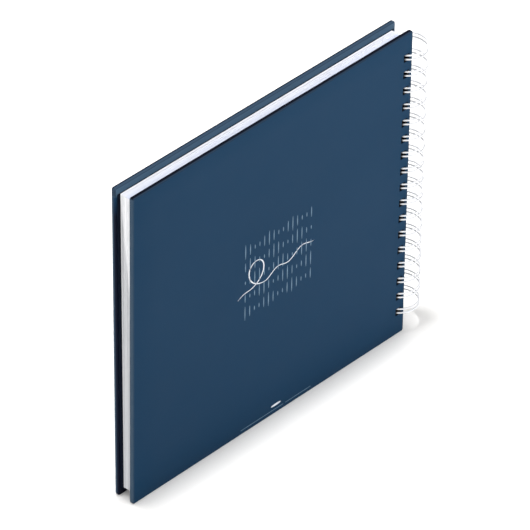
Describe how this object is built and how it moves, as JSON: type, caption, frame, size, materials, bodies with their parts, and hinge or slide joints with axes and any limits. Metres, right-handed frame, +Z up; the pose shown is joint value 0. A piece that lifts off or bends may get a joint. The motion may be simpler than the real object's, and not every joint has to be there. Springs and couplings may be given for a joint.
{
  "type": "pilot logbook",
  "caption": "Hard-cover pilot logbook with blank leaves, held by a closed twin-loop wire spine, standing on its tail edge. Covers and leaves turn about the wire.",
  "frame": {"origin": "centre of the bounding box in X and Y, on the surface that the tail edges stand on", "axes": "+Z up the spine, +X from the fore edge to the wire spine, -Y out of the back cover"},
  "size_m": [0.183, 0.0192, 0.16],
  "materials": {
    "cover_laminate": "soft satin film over dark navy print",
    "greyboard": "raw dark grey millboard",
    "end_paper": "matt, very dark navy end sheet",
    "leaf_paper": "uncoated white writing paper",
    "coated_wire": "white nylon-coated steel wire, semi-gloss"
  },
  "bodies": {
    "back_cover": {"back_cover_board": "greyboard", "back_cover_wrap": "cover_laminate", "back_cover_liner": "end_paper", "twin_loop_wire": "coated_wire"},
    "front_cover": {"front_cover_board": "greyboard", "front_cover_wrap": "cover_laminate", "front_cover_liner": "end_paper"},
    "leaf_bundle_01": {"leaf_bundle_01": "leaf_paper"},
    "leaf_bundle_02": {"leaf_bundle_02": "leaf_paper"},
    "leaf_bundle_03": {"leaf_bundle_03": "leaf_paper"},
    "leaf_bundle_04": {"leaf_bundle_04": "leaf_paper"},
    "leaf_bundle_05": {"leaf_bundle_05": "leaf_paper"},
    "leaf_bundle_06": {"leaf_bundle_06": "leaf_paper"},
    "leaf_bundle_07": {"leaf_bundle_07": "leaf_paper"},
    "leaf_bundle_08": {"leaf_bundle_08": "leaf_paper"},
    "leaf_bundle_09": {"leaf_bundle_09": "leaf_paper"},
    "leaf_bundle_10": {"leaf_bundle_10": "leaf_paper"},
    "leaf_bundle_11": {"leaf_bundle_11": "leaf_paper"},
    "leaf_bundle_12": {"leaf_bundle_12": "leaf_paper"},
    "leaf_bundle_13": {"leaf_bundle_13": "leaf_paper"},
    "leaf_bundle_14": {"leaf_bundle_14": "leaf_paper"},
    "leaf_bundle_15": {"leaf_bundle_15": "leaf_paper"},
    "leaf_bundle_16": {"leaf_bundle_16": "leaf_paper"}
  },
  "joints": [
    {"name": "front_cover_turn", "type": "hinge", "parent": "back_cover", "child": "front_cover", "pos_m": [0.08186, 0, 0.08], "axis": [0, 0, -1], "range_deg": [0, 210]},
    {"name": "leaf_turn_01", "type": "hinge", "parent": "back_cover", "child": "leaf_bundle_01", "pos_m": [0.08186, 0, 0.08], "axis": [0, 0, -1], "range_deg": [0, 198.2]},
    {"name": "leaf_turn_02", "type": "hinge", "parent": "back_cover", "child": "leaf_bundle_02", "pos_m": [0.08186, 0, 0.08], "axis": [0, 0, -1], "range_deg": [0, 185.8]},
    {"name": "leaf_turn_03", "type": "hinge", "parent": "back_cover", "child": "leaf_bundle_03", "pos_m": [0.08186, 0, 0.08], "axis": [0, 0, -1], "range_deg": [0, 173.4]},
    {"name": "leaf_turn_04", "type": "hinge", "parent": "back_cover", "child": "leaf_bundle_04", "pos_m": [0.08186, 0, 0.08], "axis": [0, 0, -1], "range_deg": [0, 161.1]},
    {"name": "leaf_turn_05", "type": "hinge", "parent": "back_cover", "child": "leaf_bundle_05", "pos_m": [0.08186, 0, 0.08], "axis": [0, 0, -1], "range_deg": [0, 148.7]},
    {"name": "leaf_turn_06", "type": "hinge", "parent": "back_cover", "child": "leaf_bundle_06", "pos_m": [0.08186, 0, 0.08], "axis": [0, 0, -1], "range_deg": [0, 136.4]},
    {"name": "leaf_turn_07", "type": "hinge", "parent": "back_cover", "child": "leaf_bundle_07", "pos_m": [0.08186, 0, 0.08], "axis": [0, 0, -1], "range_deg": [0, 124]},
    {"name": "leaf_turn_08", "type": "hinge", "parent": "back_cover", "child": "leaf_bundle_08", "pos_m": [0.08186, 0, 0.08], "axis": [0, 0, -1], "range_deg": [0, 111.7]},
    {"name": "leaf_turn_09", "type": "hinge", "parent": "back_cover", "child": "leaf_bundle_09", "pos_m": [0.08186, 0, 0.08], "axis": [0, 0, -1], "range_deg": [0, 99.3]},
    {"name": "leaf_turn_10", "type": "hinge", "parent": "back_cover", "child": "leaf_bundle_10", "pos_m": [0.08186, 0, 0.08], "axis": [0, 0, -1], "range_deg": [0, 87]},
    {"name": "leaf_turn_11", "type": "hinge", "parent": "back_cover", "child": "leaf_bundle_11", "pos_m": [0.08186, 0, 0.08], "axis": [0, 0, -1], "range_deg": [0, 74.6]},
    {"name": "leaf_turn_12", "type": "hinge", "parent": "back_cover", "child": "leaf_bundle_12", "pos_m": [0.08186, 0, 0.08], "axis": [0, 0, -1], "range_deg": [0, 62.3]},
    {"name": "leaf_turn_13", "type": "hinge", "parent": "back_cover", "child": "leaf_bundle_13", "pos_m": [0.08186, 0, 0.08], "axis": [0, 0, -1], "range_deg": [0, 49.9]},
    {"name": "leaf_turn_14", "type": "hinge", "parent": "back_cover", "child": "leaf_bundle_14", "pos_m": [0.08186, 0, 0.08], "axis": [0, 0, -1], "range_deg": [0, 37.6]},
    {"name": "leaf_turn_15", "type": "hinge", "parent": "back_cover", "child": "leaf_bundle_15", "pos_m": [0.08186, 0, 0.08], "axis": [0, 0, -1], "range_deg": [0, 25.2]},
    {"name": "leaf_turn_16", "type": "hinge", "parent": "back_cover", "child": "leaf_bundle_16", "pos_m": [0.08186, 0, 0.08], "axis": [0, 0, -1], "range_deg": [0, 12.8]}
  ],
  "couplings": [
    {"joint": "leaf_turn_01", "follows": "front_cover_turn", "ratio": 0.9412},
    {"joint": "leaf_turn_02", "follows": "front_cover_turn", "ratio": 0.8824},
    {"joint": "leaf_turn_03", "follows": "front_cover_turn", "ratio": 0.8235},
    {"joint": "leaf_turn_04", "follows": "front_cover_turn", "ratio": 0.7647},
    {"joint": "leaf_turn_05", "follows": "front_cover_turn", "ratio": 0.7059},
    {"joint": "leaf_turn_06", "follows": "front_cover_turn", "ratio": 0.6471},
    {"joint": "leaf_turn_07", "follows": "front_cover_turn", "ratio": 0.5882},
    {"joint": "leaf_turn_08", "follows": "front_cover_turn", "ratio": 0.5294},
    {"joint": "leaf_turn_09", "follows": "front_cover_turn", "ratio": 0.4706},
    {"joint": "leaf_turn_10", "follows": "front_cover_turn", "ratio": 0.4118},
    {"joint": "leaf_turn_11", "follows": "front_cover_turn", "ratio": 0.3529},
    {"joint": "leaf_turn_12", "follows": "front_cover_turn", "ratio": 0.2941},
    {"joint": "leaf_turn_13", "follows": "front_cover_turn", "ratio": 0.2353},
    {"joint": "leaf_turn_14", "follows": "front_cover_turn", "ratio": 0.1765},
    {"joint": "leaf_turn_15", "follows": "front_cover_turn", "ratio": 0.1176},
    {"joint": "leaf_turn_16", "follows": "front_cover_turn", "ratio": 0.0588}
  ]
}
